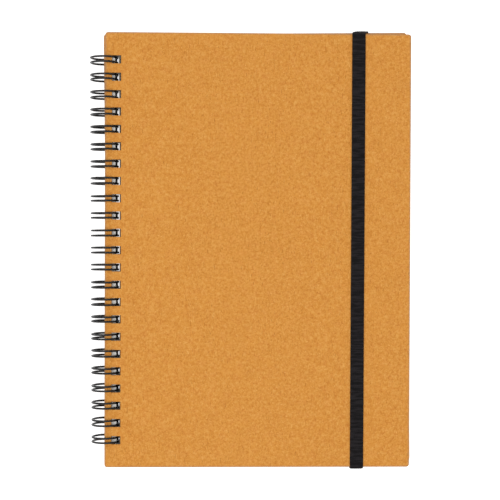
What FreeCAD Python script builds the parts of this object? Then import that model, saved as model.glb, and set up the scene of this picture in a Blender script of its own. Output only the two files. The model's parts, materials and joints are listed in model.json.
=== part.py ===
import FreeCAD, Part
import math
import os
import Sketcher

# Wire-bound notebook with hard board covers and an elastic closure, lying shut on its back.
# Millimetres and degrees. The axis of the rings runs along Y; +X goes from the rings to the
# fore-edge, +Y up the page and +Z out of the front cover. The origin is on the table, under
# the middle of the notebook.

DIMENSIONS = (
    # covers
    ("cover_width", "150.0"),
    ("cover_height", "213.0"),
    ("board_thickness", "1.3"),
    ("wrap_thickness", "0.2"),
    ("turn_in", "15.0"),
    ("corner_radius", "1.4"),
    ("edge_softening", "0.3"),
    ("endpaper_thickness", "0.1"),
    ("endpaper_inset", "2.0"),
    ("cover_hole", "4.0"),
    ("cover_margin", "3.35"),
    ("front_skew", "-0.34"),
    ("back_skew", "0.36"),
    # leaves
    ("head_overhang", "1.5"),
    ("width_trim", "4.0"),
    ("page_stack", "5.0"),
    ("page_hole", "4.0"),
    ("page_margin", "3.65"),
    ("page_hole_clearance", "0.12"),
    ("leaf_gap", "0.05"),
    # twin-loop wire
    ("row_margin", "11.0"),
    ("loop_pitch", "8.467"),
    ("ring_radius", "6.65"),
    ("wire_diameter", "1.0"),
    ("twin_spacing", "2.45"),
    ("base_bend_radius", "1.0"),
    ("base_angle", "-80.0"),
    ("seam_angle", "30.0"),
    ("ring_sides", "16"),
    ("tip_sides", "4"),
    ("bend_sides", "2"),
    # elastic band
    ("band_width", "6.4"),
    ("band_thickness", "0.8"),
    ("band_to_fore_edge", "22.8"),
    ("band_clearance", "0.15"),
    ("band_edge_bend", "0.9"),
    ("band_slot_bend", "0.6"),
    ("band_slant_bend", "4.0"),
    ("band_tail", "14.0"),
    ("slot_to_edge", "11.5"),
    ("slot_clearance", "0.25"),
    ("tail_recess", "0.9"),
)

# Sizes that follow from the driving ones, as formulas of the second sheet.
LAYOUT = (
    ("cover_thickness", "=2 * Dimensions.wrap_thickness + Dimensions.board_thickness"
                        " + Dimensions.endpaper_thickness"),
    ("inner_face", "=Dimensions.page_stack / 2 + Dimensions.leaf_gap"),
    ("outer_face", "=inner_face + cover_thickness"),
    ("board_level", "=Dimensions.endpaper_thickness + Dimensions.wrap_thickness"),
    ("wrap_level", "=board_level + Dimensions.board_thickness"),
    ("cover_hole_x", "=(sqrt(Dimensions.ring_radius ^ 2 - inner_face ^ 2)"
                     " + sqrt(Dimensions.ring_radius ^ 2 - outer_face ^ 2)) / 2"),
    ("cover_spine_x", "=cover_hole_x - Dimensions.cover_hole / 2 - Dimensions.cover_margin"),
    ("page_face_x", "=sqrt(Dimensions.ring_radius ^ 2 - Dimensions.page_stack ^ 2 / 4)"),
    ("wire_corner", "=Dimensions.wire_diameter / 2 * sqrt(2 * pi / (3 * sqrt(3)))"),
    ("wire_flat", "=wire_corner * cos(30deg)"),
    ("page_hole_x", "=page_face_x - wire_corner * Dimensions.ring_radius / page_face_x"
                    " - Dimensions.page_hole_clearance + Dimensions.page_hole / 2"),
    ("page_spine_x", "=page_hole_x - Dimensions.page_hole / 2 - Dimensions.page_margin"),
    ("page_width", "=Dimensions.cover_width - Dimensions.width_trim"),
    ("page_height", "=Dimensions.cover_height - 2 * Dimensions.head_overhang"),
    ("loop_count", "=floor((page_height - 2 * Dimensions.row_margin) / Dimensions.loop_pitch) + 1"),
    ("hole_row", "=(loop_count - 1) * Dimensions.loop_pitch"),
    ("ring_step", "=(360 - Dimensions.seam_angle) / Dimensions.ring_sides"),
    ("axis_height", "=Dimensions.ring_radius * cos(ring_step / 2 * 1deg) + wire_flat"),
    ("band_x", "=cover_spine_x + Dimensions.cover_width - Dimensions.band_to_fore_edge"
               " - Dimensions.band_width / 2"),
    ("band_axis", "=outer_face + Dimensions.band_clearance + Dimensions.band_thickness / 2"),
    ("band_low", "=band_axis + Dimensions.band_thickness / 2"),
    ("tilt", "=asin((axis_height - band_low) / (band_x + Dimensions.band_width / 2)) / 1deg"),
    ("slot_y", "=Dimensions.cover_height / 2 - Dimensions.slot_to_edge"),
    ("tail_axis", "=inner_face + board_level + Dimensions.tail_recess / 2"),
    ("reach", "=cover_spine_x + Dimensions.cover_width"
              " + Dimensions.cover_height / 2 * sin(Dimensions.back_skew * 1deg)"),
    ("centre_x", "=(reach - Dimensions.ring_radius - wire_flat) / 2"),
)

# The shut notebook leans about the ring axis until the elastic behind it meets the table.
LYING = ("placement(vector(-Layout.centre_x; 0; Layout.axis_height);"
         " rotation(vector(0; 1; 0); Layout.tilt))")

# Corners of the wire's section, which is a hexagon.
WIRE_CORNERS = 6


def fill_sheet(doc, name, rows):
    """Write rows of name and content into a new sheet, each value under its own alias."""
    sheet = doc.addObject("Spreadsheet::Sheet", name)
    for number, (alias, content) in enumerate(rows, start=1):
        sheet.set(f"A{number}", alias)
        sheet.set(f"B{number}", content)
        sheet.setAlias(f"B{number}", alias)
    doc.recompute()
    return sheet


def new_body(doc, label):
    body = doc.addObject("PartDesign::Body", label)
    body.Label = label
    return body


def rectangle(body, name, left, width, height, level="0", middle="0", radius=None):
    """Sketch a rectangle at z = level with its left side at x = left, centred on y = middle.

    With a radius its corners are tangent arcs.
    """
    plane = next(item for item in body.Origin.OriginFeatures if item.Role == "XY_Plane")
    sketch = body.newObject("Sketcher::SketchObject", name)
    sketch.AttachmentSupport = [(plane, "")]
    sketch.MapMode = "FlatFace"
    sketch.setExpression("AttachmentOffset.Base.z", level)
    low = f"({middle}) - ({height}) / 2"
    x, y, wide, high = (float(body.evalExpression(formula)) for formula in (left, low, width, height))
    inset = float(body.evalExpression(radius)) if radius else 0.0
    # Corners counter-clockwise from the lower left, each with the side that leaves it.
    corners = [FreeCAD.Vector(x + wide * right, y + high * up, 0)
               for right, up in ((0, 0), (1, 0), (1, 1), (0, 1))]
    sides = [(following - corner).normalize()
             for corner, following in zip(corners, corners[1:] + corners[:1])]
    for number, (corner, side) in enumerate(zip(corners, sides)):
        following = corners[(number + 1) % len(corners)]
        line = Part.LineSegment(corner + side * inset, following - side * inset)
        sketch.addGeometry(line, False)
    for number in range(len(corners)):
        following = (number + 1) % len(corners)
        if not radius:
            sketch.addConstraint(Sketcher.Constraint("Coincident", number, 2, following, 1))
            continue
        centre = corners[following] + (sides[following] - sides[number]) * inset
        start = math.pi / 2 * (number - 1)
        circle = Part.Circle(centre, FreeCAD.Vector(0, 0, 1), inset)
        arc = sketch.addGeometry(Part.ArcOfCircle(circle, start, start + math.pi / 2), False)
        sketch.addConstraint(Sketcher.Constraint("Tangent", number, 2, arc, 1))
        sketch.addConstraint(Sketcher.Constraint("Tangent", arc, 2, following, 1))
        if number:
            sketch.addConstraint(Sketcher.Constraint("Equal", arc, len(corners)))
    bottom, right, top, left_side = range(len(corners))
    for side in (bottom, top):
        sketch.addConstraint(Sketcher.Constraint("Horizontal", side))
    for side in (right, left_side):
        sketch.addConstraint(Sketcher.Constraint("Vertical", side))
    sizes = [
        ("left", "DistanceX", (-1, 1, left_side, 1), left),
        ("low", "DistanceY", (-1, 1, bottom, 1), low),
        ("width", "DistanceX", (left_side, 1, right, 1), width),
        ("height", "DistanceY", (bottom, 1, top, 1), height),
    ]
    if radius:
        sizes.append(("radius", "Radius", (len(corners),), radius))
    for size_name, kind, points, formula in sizes:
        value = float(body.evalExpression(formula))
        index = sketch.addConstraint(Sketcher.Constraint(kind, *points, value))
        sketch.renameConstraint(index, size_name)
        sketch.setExpression(f"Constraints.{size_name}", formula)
    return sketch


def pad(body, name, sketch, depth):
    """Raise a sketch upwards by the formula depth."""
    feature = body.newObject("PartDesign::Pad", name)
    feature.Profile = sketch
    feature.setExpression("Length", depth)
    body.Document.recompute()
    return feature


def pocket(body, name, sketch, depth=None):
    """Cut downwards from a sketch, by the formula depth or right through."""
    before = body.Shape.Volume
    feature = body.newObject("PartDesign::Pocket", name)
    feature.Profile = sketch
    if depth is None:
        feature.Type = "ThroughAll"
    else:
        feature.setExpression("Length", depth)
    body.Document.recompute()
    if not body.Shape.Volume < before:
        raise RuntimeError(f"{name} of {body.Label} removes nothing")
    return feature


def soften_top(body, shape):
    """Bevel the edges that lie in the highest face of a body's last feature."""
    box = shape.BoundBox
    names = [f"Edge{number}" for number, edge in enumerate(shape.Edges, start=1)
             if edge.BoundBox.ZMin > box.Center.z]
    base = body.Tip
    feature = body.newObject("PartDesign::Chamfer", "SoftEdges")
    feature.Base = (base, names)
    feature.setExpression("Size", "Dimensions.edge_softening")
    body.Document.recompute()


def board_outline(body, level):
    """Outline of the board at z = level, inside its wrap, with its knocked corners."""
    margin = "Dimensions.wrap_thickness"
    return rectangle(body, "BoardOutline", margin, f"Dimensions.cover_width - 2 * {margin}",
                     f"Dimensions.cover_height - 2 * {margin}", level,
                     radius=f"Dimensions.corner_radius - {margin}")


def punch_row(body, hole, hole_x, level):
    """Punch the square holes of the binding, one for each twin loop, down from z = level."""
    sketch = rectangle(body, "BindingHole", f"{hole_x} - {hole} / 2", hole, hole, level,
                       "-Layout.hole_row / 2")
    first = pocket(body, "BindingHoleCut", sketch)
    row = body.newObject("PartDesign::LinearPattern", "BindingHoles")
    row.Originals = [first]
    row.Direction = (sketch, ["V_Axis"])
    row.setExpression("Length", "Layout.hole_row")
    row.setExpression("Occurrences", "Layout.loop_count")
    body.Tip = row
    body.Document.recompute()


def band_window(body, name, side, middle, length, level):
    """Outline across the elastic on the back cover, with its middle at a distance from the
    notebook's middle. A back cover is modelled face up, so side is -1 at the top of the page.
    """
    width = "(Dimensions.band_width + 2 * Dimensions.slot_clearance)"
    turn = "(Dimensions.back_skew * 1deg)"
    centre_x = f"(Layout.band_x * cos({turn}) - {side} * {middle} * sin({turn}))"
    centre_y = f"({side} * {middle} * cos({turn}) + Layout.band_x * sin({turn}))"
    left = f"{centre_x} - Layout.cover_spine_x - {width} / 2"
    return rectangle(body, name, left, width, f"({length} + 2 * Dimensions.slot_clearance)", level,
                     centre_y)


def punch_slots(body, level):
    """Cut the two slots that the elastic's ends pass through, in line with the band."""
    for name, side in (("TopSlot", -1), ("BottomSlot", 1)):
        slot = band_window(body, name, side, "Layout.slot_y", "Dimensions.band_thickness", level)
        pocket(body, f"{name}Cut", slot)


def recess_tails(body):
    """Sink the seats for the elastic's glued tails into the board's inner face."""
    tail_y = "(Layout.slot_y + Dimensions.band_thickness / 2 - Dimensions.band_tail / 2)"
    for name, side in (("TopTail", -1), ("BottomTail", 1)):
        seat = band_window(body, name, side, tail_y, "Dimensions.band_tail",
                           "Layout.board_level + Dimensions.tail_recess")
        pocket(body, f"{name}Recess", seat, "Dimensions.tail_recess")


def cover_board(doc, side, slotted):
    """Grey board of a cover, its corners knocked round to suit the wrap."""
    body = new_body(doc, f"{side}_board")
    pad(body, "Board", board_outline(body, "Layout.board_level"), "Dimensions.board_thickness")
    if slotted:
        recess_tails(body)
        punch_slots(body, "Layout.wrap_level")
    punch_row(body, "Dimensions.cover_hole", "Layout.cover_hole_x - Layout.cover_spine_x",
              "Layout.wrap_level")
    return body


def cover_wrap(doc, side, slotted):
    """Covering sheet: outer face, the four edges and the turn-ins glued round the board."""
    body = new_body(doc, f"{side}_cover")
    outline = rectangle(body, "WrapOutline", "0", "Dimensions.cover_width", "Dimensions.cover_height",
                        "Dimensions.endpaper_thickness", radius="Dimensions.corner_radius")
    solid = pad(body, "Wrap", outline, "Dimensions.board_thickness + 2 * Dimensions.wrap_thickness")
    soften_top(body, solid.Shape)
    field = rectangle(body, "FieldOutline", "Dimensions.turn_in",
                      "Dimensions.cover_width - 2 * Dimensions.turn_in",
                      "Dimensions.cover_height - 2 * Dimensions.turn_in", "Layout.board_level")
    pocket(body, "Field", field, "Dimensions.wrap_thickness")
    pocket(body, "BoardSpace", board_outline(body, "Layout.wrap_level"), "Dimensions.board_thickness")
    if slotted:
        punch_slots(body, "Layout.wrap_level + Dimensions.wrap_thickness")
    punch_row(body, "Dimensions.cover_hole", "Layout.cover_hole_x - Layout.cover_spine_x",
              "Layout.wrap_level + Dimensions.wrap_thickness")
    return body


def endpaper(doc, side):
    """Lining sheet, pasted over the turn-ins and pressed down onto the board between them."""
    body = new_body(doc, f"{side}_endpaper")
    inset, paper = "Dimensions.endpaper_inset", "Dimensions.endpaper_thickness"
    outline = rectangle(body, "SheetOutline", inset, f"Dimensions.cover_width - 2 * {inset}",
                        f"Dimensions.cover_height - 2 * {inset}")
    pad(body, "Sheet", outline, paper)
    field_width = "(Dimensions.cover_width - 2 * Dimensions.turn_in)"
    field_height = "(Dimensions.cover_height - 2 * Dimensions.turn_in)"
    raised = rectangle(body, "PressedOutline", "Dimensions.turn_in", field_width, field_height)
    pad(body, "Pressed", raised, "Layout.board_level")
    hollow = rectangle(body, "HollowOutline", f"Dimensions.turn_in + {paper}",
                       f"{field_width} - 2 * {paper}", f"{field_height} - 2 * {paper}",
                       "Dimensions.wrap_thickness")
    pocket(body, "Hollow", hollow, "Dimensions.wrap_thickness")
    punch_row(body, "Dimensions.cover_hole", "Layout.cover_hole_x - Layout.cover_spine_x", paper)
    return body


def place_cover(side, pieces):
    """Seat a cover on the leaves, turned a little in its own plane about the spine."""
    face, turn = ("-Layout.inner_face", 180) if side == "back" else ("Layout.inner_face", 0)
    seat = f"placement(vector(Layout.cover_spine_x; 0; {face}); rotation(vector(1; 0; 0); {turn}))"
    skew = f"placement(vector(0; 0; 0); rotation(vector(0; 0; 1); Dimensions.{side}_skew))"
    for piece in pieces:
        piece.setExpression("Placement", f"{LYING} * {skew} * {seat}")


def page_block(doc):
    """The leaves, as one block with the binding holes punched through."""
    body = new_body(doc, "page_block")
    outline = rectangle(body, "LeafOutline", "Layout.page_spine_x", "Layout.page_width",
                        "Layout.page_height", "-Dimensions.page_stack / 2")
    pad(body, "Leaves", outline, "Dimensions.page_stack")
    punch_row(body, "Dimensions.page_hole", "Layout.page_hole_x", "Dimensions.page_stack / 2")
    body.setExpression("Placement", LYING)
    return body


def mitred_bar(points, section):
    """Carry a closed section along straight pieces from point to point, mitred at each corner.

    The section is a list of points around the first point. Each edge of the bar runs parallel
    to its piece of the path until it meets the plane that halves the next corner.
    """
    rows = [section]
    for number in range(1, len(points)):
        here = points[number]
        arriving = (here - points[number - 1]).normalize()
        leaving = arriving
        if number + 1 < len(points):
            leaving = (points[number + 1] - here).normalize()
        normal = (arriving + leaving).normalize()
        rows.append([corner + arriving * ((here - corner).dot(normal) / arriving.dot(normal))
                     for corner in rows[-1]])
    faces = [Part.Face(Part.makePolygon(rows[end] + rows[end][:1])) for end in (0, -1)]
    count = len(section)
    for first, second in zip(rows, rows[1:]):
        for number in range(count):
            after = (number + 1) % count
            loop = [first[number], first[after], second[after], second[number], first[number]]
            faces.append(Part.Face(Part.makePolygon(loop)))
    shell = Part.Shell(faces)
    shell.sewShape()
    solid = Part.Solid(shell)
    if solid.Volume < 0:
        solid.reverse()
    return solid


def twin_wire(doc, sheet, layout):
    """One wire bent into twin loops: each pair of legs meets in a round tip, and short straight
    runs along the base carry the wire on to the next pair. The tips close down to the base
    behind the back cover. The section is a hexagon of the round wire's area, and the bends are
    runs of short straight pieces.
    """
    radius, twin, bend = sheet.ring_radius, sheet.twin_spacing, sheet.base_bend_radius
    base, step = sheet.base_angle, layout.ring_step
    sides = int(sheet.ring_sides)

    def ring_point(degrees, y, along=0.0):
        """Point on the ring, moved along its tangent towards the seam."""
        turn = math.radians(degrees)
        return FreeCAD.Vector(radius * math.cos(turn) - along * math.sin(turn), y,
                              radius * math.sin(turn) + along * math.cos(turn))

    def corner(y, side):
        """Quarter bend from the run along the base into a leg, taken towards the leg."""
        swing = [math.pi / 2 * part / sheet.bend_sides for part in range(int(sheet.bend_sides))]
        return [ring_point(base, y + side * bend * (1 - math.sin(angle)), bend * math.cos(angle))
                for angle in swing]

    def leg(y):
        return [ring_point(base - step * part, y) for part in range(sides + 1)]

    def tip(y):
        """Half-round end of a twin loop, from one leg to the other."""
        end = base - step * sides
        turns = [math.pi * part / sheet.tip_sides for part in range(1, int(sheet.tip_sides))]
        return [ring_point(end, y - twin / 2 * math.cos(turn), -twin / 2 * math.sin(turn))
                for turn in turns]

    points = []
    for number in range(int(layout.loop_count)):
        y = (number - (layout.loop_count - 1) / 2) * sheet.loop_pitch
        near, far = y - twin / 2, y + twin / 2
        points += corner(near, -1) + leg(near) + tip(y) + leg(far)[::-1] + corner(far, 1)[::-1]
    first = points[0]
    start = first - FreeCAD.Vector(0, bend, 0)
    finish = points[-1] + FreeCAD.Vector(0, bend, 0)
    outward = ring_point(base, 0).normalize()
    along = outward.cross(FreeCAD.Vector(0, 1, 0))
    # A flat of the hexagon faces outwards, so its corners start half a side round.
    turns = [math.pi / WIRE_CORNERS * (2 * part + 1) for part in range(WIRE_CORNERS)]
    section = [start + (outward * math.cos(turn) + along * math.sin(turn)) * layout.wire_corner
               for turn in turns]
    feature = doc.addObject("Part::Feature", "twin_wire")
    feature.Label = "twin_wire"
    feature.Shape = mitred_bar([start] + points + [finish], section)
    feature.setExpression("Placement", LYING)
    return feature


def rounded_route(corners):
    """Line through corner points, each given with the radius of its tangent arc."""
    edges = []
    here = corners[0][0]
    for (before, _), (point, radius), (after, _) in zip(corners, corners[1:], corners[2:]):
        arriving = (point - before).normalize()
        leaving = (after - point).normalize()
        half_turn = arriving.getAngle(leaving) / 2
        cut = radius * math.tan(half_turn)
        start, end = point - arriving * cut, point + leaving * cut
        inward = (leaving - arriving).normalize()
        middle = point + inward * (radius / math.cos(half_turn) - radius)
        edges += [Part.LineSegment(here, start).toShape(), Part.Arc(start, middle, end).toShape()]
        here = end
    edges.append(Part.LineSegment(here, corners[-1][0]).toShape())
    return Part.Wire(edges)


def elastic_band(doc, sheet, layout):
    """Flat elastic in one length: glued tail, out through a slot in the back cover, round the
    bottom edge, up the front, round the top edge, in through the other slot to its tail.
    """
    half, rise = sheet.band_thickness / 2, layout.band_axis
    reach = sheet.band_clearance + half

    def edge_y(skew, side):
        """Where the band's middle passes a turned cover's top (+1) or bottom (-1) edge."""
        turn = math.radians(skew)
        edge = sheet.cover_height / 2 / math.cos(turn) * side + layout.band_x * math.tan(turn)
        return edge + side * reach

    def point(y, z):
        return FreeCAD.Vector(layout.band_x, y, z)

    def around(side):
        """Corners of the route from a tail round one edge of the notebook to the front."""
        back, front = edge_y(sheet.back_skew, side), edge_y(sheet.front_skew, side)
        slot, tail = side * layout.slot_y, side * (layout.slot_y + half - sheet.band_tail)
        # The cover that stands out further holds the band away from the other one.
        if back * side > front * side:
            step = (point(back, -layout.inner_face), sheet.band_slant_bend)
        else:
            step = (point(front, layout.inner_face), sheet.band_slant_bend)
        return [
            (point(tail, -layout.tail_axis), 0.0),
            (point(slot, -layout.tail_axis), sheet.band_slot_bend),
            (point(slot, -rise), sheet.band_slot_bend),
            (point(back, -rise), sheet.band_edge_bend),
            step,
            (point(front, rise), sheet.band_edge_bend),
        ]

    route = rounded_route(around(1) + around(-1)[::-1])
    start = route.Vertexes[0].Point
    across, through = FreeCAD.Vector(sheet.band_width / 2, 0, 0), FreeCAD.Vector(0, 0, half)
    outline = [start + across + through, start + across - through,
               start - across - through, start - across + through]
    section = Part.makePolygon(outline + outline[:1])
    feature = doc.addObject("Part::Feature", "elastic_band")
    feature.Label = "elastic_band"
    feature.Shape = route.makePipeShell([section], True, False)
    feature.setExpression("Placement", LYING)
    return feature


def check_document(doc, pieces):
    """Stop if anything in the document failed, or a piece has no sound solid."""
    for item in doc.Objects:
        if "Invalid" in item.State or "Error" in item.State:
            raise RuntimeError(f"{item.Label} failed: {item.State}")
    for piece in pieces:
        shape = piece.Shape
        if shape.isNull() or not shape.isValid() or not shape.Solids:
            raise RuntimeError(f"{piece.Label} has no sound solid")


def build():
    doc = FreeCAD.newDocument("Notebook")
    sheet = fill_sheet(doc, "Dimensions", DIMENSIONS)
    layout = fill_sheet(doc, "Layout", LAYOUT)
    pieces = [page_block(doc), twin_wire(doc, sheet, layout), elastic_band(doc, sheet, layout)]
    for side in ("front", "back"):
        slotted = side == "back"
        cover = [cover_board(doc, side, slotted), cover_wrap(doc, side, slotted), endpaper(doc, side)]
        place_cover(side, cover)
        pieces += cover
    doc.recompute()
    check_document(doc, pieces)
    os.makedirs("parts", exist_ok=True)
    for piece in pieces:
        piece.Shape.exportStep(f"parts/{piece.Label}.step")
        print(piece.Label, round(piece.Shape.Volume, 1), len(piece.Shape.Faces))


build()
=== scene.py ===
"""Dresses a packed wire-bound notebook: covering sheets, leaves, twin-loop wire and elastic."""

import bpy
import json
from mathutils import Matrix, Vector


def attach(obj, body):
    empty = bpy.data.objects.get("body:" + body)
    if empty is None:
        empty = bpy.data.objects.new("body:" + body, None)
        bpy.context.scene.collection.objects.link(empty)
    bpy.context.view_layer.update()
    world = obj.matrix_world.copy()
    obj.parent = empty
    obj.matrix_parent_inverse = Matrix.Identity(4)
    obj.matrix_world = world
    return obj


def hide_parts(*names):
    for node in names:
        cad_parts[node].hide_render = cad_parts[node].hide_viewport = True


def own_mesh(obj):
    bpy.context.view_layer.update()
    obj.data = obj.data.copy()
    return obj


bl_info = {
    "name": "Wire-bound notebook",
    "version": (1, 0, 0),
    "blender": (4, 5, 0),
    "location": "View3D > Sidebar > Notebook",
    "description": "Makes the covers, leaves, twin-loop wire and elastic of a wire-bound notebook",
    "category": "Object",
}

import json
import math

import bmesh
import bpy
import numpy as np
from bpy.props import FloatProperty, FloatVectorProperty, IntProperty, PointerProperty

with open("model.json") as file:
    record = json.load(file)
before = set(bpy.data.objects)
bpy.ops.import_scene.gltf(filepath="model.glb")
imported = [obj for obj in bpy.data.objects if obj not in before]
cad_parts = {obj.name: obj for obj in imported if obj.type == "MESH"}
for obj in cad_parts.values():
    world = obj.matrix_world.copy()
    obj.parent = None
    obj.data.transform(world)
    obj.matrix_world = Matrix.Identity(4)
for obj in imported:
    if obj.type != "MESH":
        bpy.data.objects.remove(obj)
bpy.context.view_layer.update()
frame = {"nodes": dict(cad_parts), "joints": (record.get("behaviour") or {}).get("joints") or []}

MM = 0.001
MERGE_DISTANCE = 1e-6


def display(red, green, blue):
    """Linear colour of a display colour given from 0 to 255, by the sRGB curve."""
    channels = np.array((red, green, blue)) / 255
    return tuple(np.where(channels <= 0.04045, channels / 12.92, ((channels + 0.055) / 1.055) ** 2.4))


def length(name, description, millimetres):
    """Property that holds a length, with its default in millimetres."""
    return FloatProperty(name=name, description=description, default=millimetres * MM, min=0,
                         unit="LENGTH", subtype="DISTANCE", precision=5)


def angle(name, description, degrees):
    """Property that holds an angle, with its default in degrees."""
    return FloatProperty(name=name, description=description, default=math.radians(degrees),
                         unit="ROTATION", subtype="ANGLE")


def position(name, description, metres):
    """Property that holds a place in the scene."""
    return FloatVectorProperty(name=name, description=description, default=metres,
                               unit="LENGTH", subtype="TRANSLATION")


def colour(name, description, red, green, blue):
    """Property that holds a colour, with its default as a display colour from 0 to 255."""
    return FloatVectorProperty(name=name, description=description, default=display(red, green, blue),
                               subtype="COLOR", size=3, min=0, max=1)


class CoverSettings(bpy.types.PropertyGroup):
    sheet_thickness: length("Sheet", "Thickness of the covering sheet", 0.2)
    turn_in: length("Turn-in", "Width of the strip that is folded onto the inside", 15.0)
    corner_radius: length("Corner", "Radius of the wrapped corners", 1.4)
    edge_radius: length("Edge", "Radius of the sheet where it bends over the board's edge", 0.45)
    hole: length("Hole", "Height of the binding holes, up the page", 4.0)
    # Painted shade: the sheet's holes are cut wider than the board's, so a strip of dark board shows at
    # each hole's far end as its shade.
    hole_width: length("Hole width", "Width of the holes in the sheet, a little past the board's", 4.5)
    hole_margin: length("Margin", "From the spine edge to the holes", 3.35)
    sheet_colour: colour("Covering", "Recycled fibre paper", 216, 145, 60)
    pale_colour: colour("Pale grains", "Lighter pulp in the covering", 232, 170, 88)
    rosy_colour: colour("Rosy clouds", "Redder pulp in the covering", 220, 144, 70)
    fleck_colour: colour("Dark grains", "Darker pulp and fibres in the covering", 190, 113, 35)
    speck_colour: colour("Pale specks", "Lightest specks in the covering", 244, 184, 104)
    # Painted shade: the covers' folded edges get this darker, greyer colour.
    fold_shade_colour: colour("Shaded folds", "Painted shade where the covering is folded", 186, 140, 98)
    # Painted shade: the board is made dark, as the shade inside the binding holes where it shows.
    board_shade_colour: colour("Board", "Grey board inside the covers", 78, 69, 58)
    lining_colour: colour("Lining", "Paper pasted inside the covers", 226, 221, 208)


class LeafSettings(bpy.types.PropertyGroup):
    leaves: IntProperty(name="Leaves", description="Number of leaves in the block", default=50, min=2)
    unevenness: length("Unevenness", "How far a leaf's edge lies behind its neighbours'", 0.16)
    groove: length("Groove", "Depth of the line between two leaves", 0.05)
    hole: length("Hole", "Side of the square binding holes", 4.0)
    hole_margin: length("Margin", "From the spine edge to the holes", 3.65)
    paper_colour: colour("Paper", "Uncoated paper of the leaves", 240, 238, 232)


class WireSettings(bpy.types.PropertyGroup):
    loops: IntProperty(name="Loops", description="Number of twin loops", default=23, min=1)
    pitch: length("Pitch", "From one twin loop to the next", 8.467)
    diameter: length("Wire", "Diameter of the coated wire", 1.0)
    ring_radius: length("Ring", "Radius of the loops at the middle of the wire", 6.52)
    twin_spacing: length("Twin spacing", "Between the two legs of a loop", 2.45)
    unevenness: length("Unevenness", "How much the spacing of a loop's legs may vary", 0.35)
    lean: length("Lean", "How far a loop may lean along the row at its far side", 0.2)
    base_bend: length("Base bend", "Radius of the bends at the loops' base", 1.0)
    base_angle: angle("Base angle", "Where a leg leaves the base, round the ring", -62)
    seam_angle: angle("Seam angle", "Gap in a loop between its tip and its base", 40)
    coat_colour: colour("Coating", "Black coating of the wire", 10, 10, 11)


class ElasticSettings(bpy.types.PropertyGroup):
    width: length("Width", "Width of the flat elastic", 6.6)
    thickness: length("Thickness", "Thickness of the flat elastic", 0.8)
    clearance: length("Clearance", "Between the elastic and the covers", 0.15)
    edge_bend: length("Edge bend", "Radius of the bend over a cover's edge", 0.9)
    slot_bend: length("Slot bend", "Radius of the bends at the slots", 0.6)
    slant_bend: length("Slant bend", "Radius where the band leans from one cover to the other", 4.0)
    tail: length("Tail", "Glued length inside the back cover", 14.0)
    slot_to_edge: length("Slot to edge", "From a cover's edge to the slot", 11.5)
    lean: angle("Lean", "How far the band leans on the front cover", 0.42)
    slip: length("Slip", "How far the band has slipped towards the fore-edge, behind the top edge", 2.3)
    rib_pitch: length("Rib pitch", "Between the ribs that run along the elastic", 1.06)
    rib_depth: length("Rib depth", "Depth of the furrows between the ribs", 0.09)
    thread_colour: colour("Thread", "Black thread of the elastic", 18, 16, 17)


class StageSettings(bpy.types.PropertyGroup):
    floor_size: length("Floor", "Side of the floor", 6000.0)
    floor_colour: colour("Floor", "Plain pale floor", 245, 245, 245)
    floor_lift: FloatProperty(name="Floor lift", description="How far the seen floor is lifted to white",
                              default=0.7, min=0, max=1)
    camera_place: position("Camera", "Place of the camera, above the cover", (-0.0108, 0.00835, 0.64))
    camera_turn: FloatVectorProperty(name="Camera turn", description="How the camera is turned",
                                     default=[math.radians(turn) for turn in (-0.77, -0.936, -0.135)],
                                     unit="ROTATION", subtype="EULER")
    lens: FloatProperty(name="Lens", description="Focal length of the camera, in millimetres",
                        default=92.45, min=1)
    lamp_power: FloatProperty(name="Lamp", description="Power of the soft lamp overhead, in watts",
                              default=12.4, min=0)
    lamp_size: length("Lamp size", "Side of the soft lamp", 1200.0)
    lamp_place: position("Lamp place", "Place of the soft lamp, which points at the notebook",
                         (-0.2, -0.12, 1.45))
    sky_strength: FloatProperty(name="Sky", description="Strength of the even light from all round",
                                default=0.5, min=0)


def face_directions(node):
    """Unit X, Y and Z of a flat CAD piece: the area-weighted mean directions of its faces that
    look up and towards the fore-edge, made square to each other.
    """
    mesh = frame["nodes"][node].data
    normals = np.empty(len(mesh.polygons) * 3)
    areas = np.empty(len(mesh.polygons))
    mesh.polygons.foreach_get("normal", normals)
    mesh.polygons.foreach_get("area", areas)
    normals = normals.reshape(-1, 3)
    facing = 0.9
    up, across = (((normals * areas[:, None])[normals[:, axis] > facing]).sum(0) for axis in (2, 0))
    up /= np.linalg.norm(up)
    across -= up * across.dot(up)
    across /= np.linalg.norm(across)
    return np.array((across, np.cross(up, across), up))


def node_corners(node, axes):
    """Lowest and highest corner of a CAD node along the given axes."""
    mesh = frame["nodes"][node].data
    points = np.empty(len(mesh.vertices) * 3)
    mesh.vertices.foreach_get("co", points)
    along = points.reshape(-1, 3) @ axes.T
    return along.min(0), along.max(0)


class Seat:
    """Place and size of a flat CAD piece: x from its spine edge, y from its middle, z from its
    lower face, with the axes read from its faces.
    """

    def __init__(self, node):
        self.axes = face_directions(node)
        low, high = node_corners(node, self.axes)
        self.size = high - low
        self.origin = np.array((low[0], (low[1] + high[1]) / 2, low[2])) @ self.axes

    def place(self, points):
        """Points on the piece carried into the scene."""
        return points @ self.axes + self.origin

    def local(self, points):
        """Points in the scene carried onto the piece."""
        return (points - self.origin) @ self.axes.T


class RingFrame(Seat):
    """Frame of the wire: its origin is on the hinge axis, and its axes are the leaves' own."""

    def __init__(self):
        self.axes = face_directions("page_block")
        self.origin = np.array(frame["joints"][0]["pos_m"])


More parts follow.
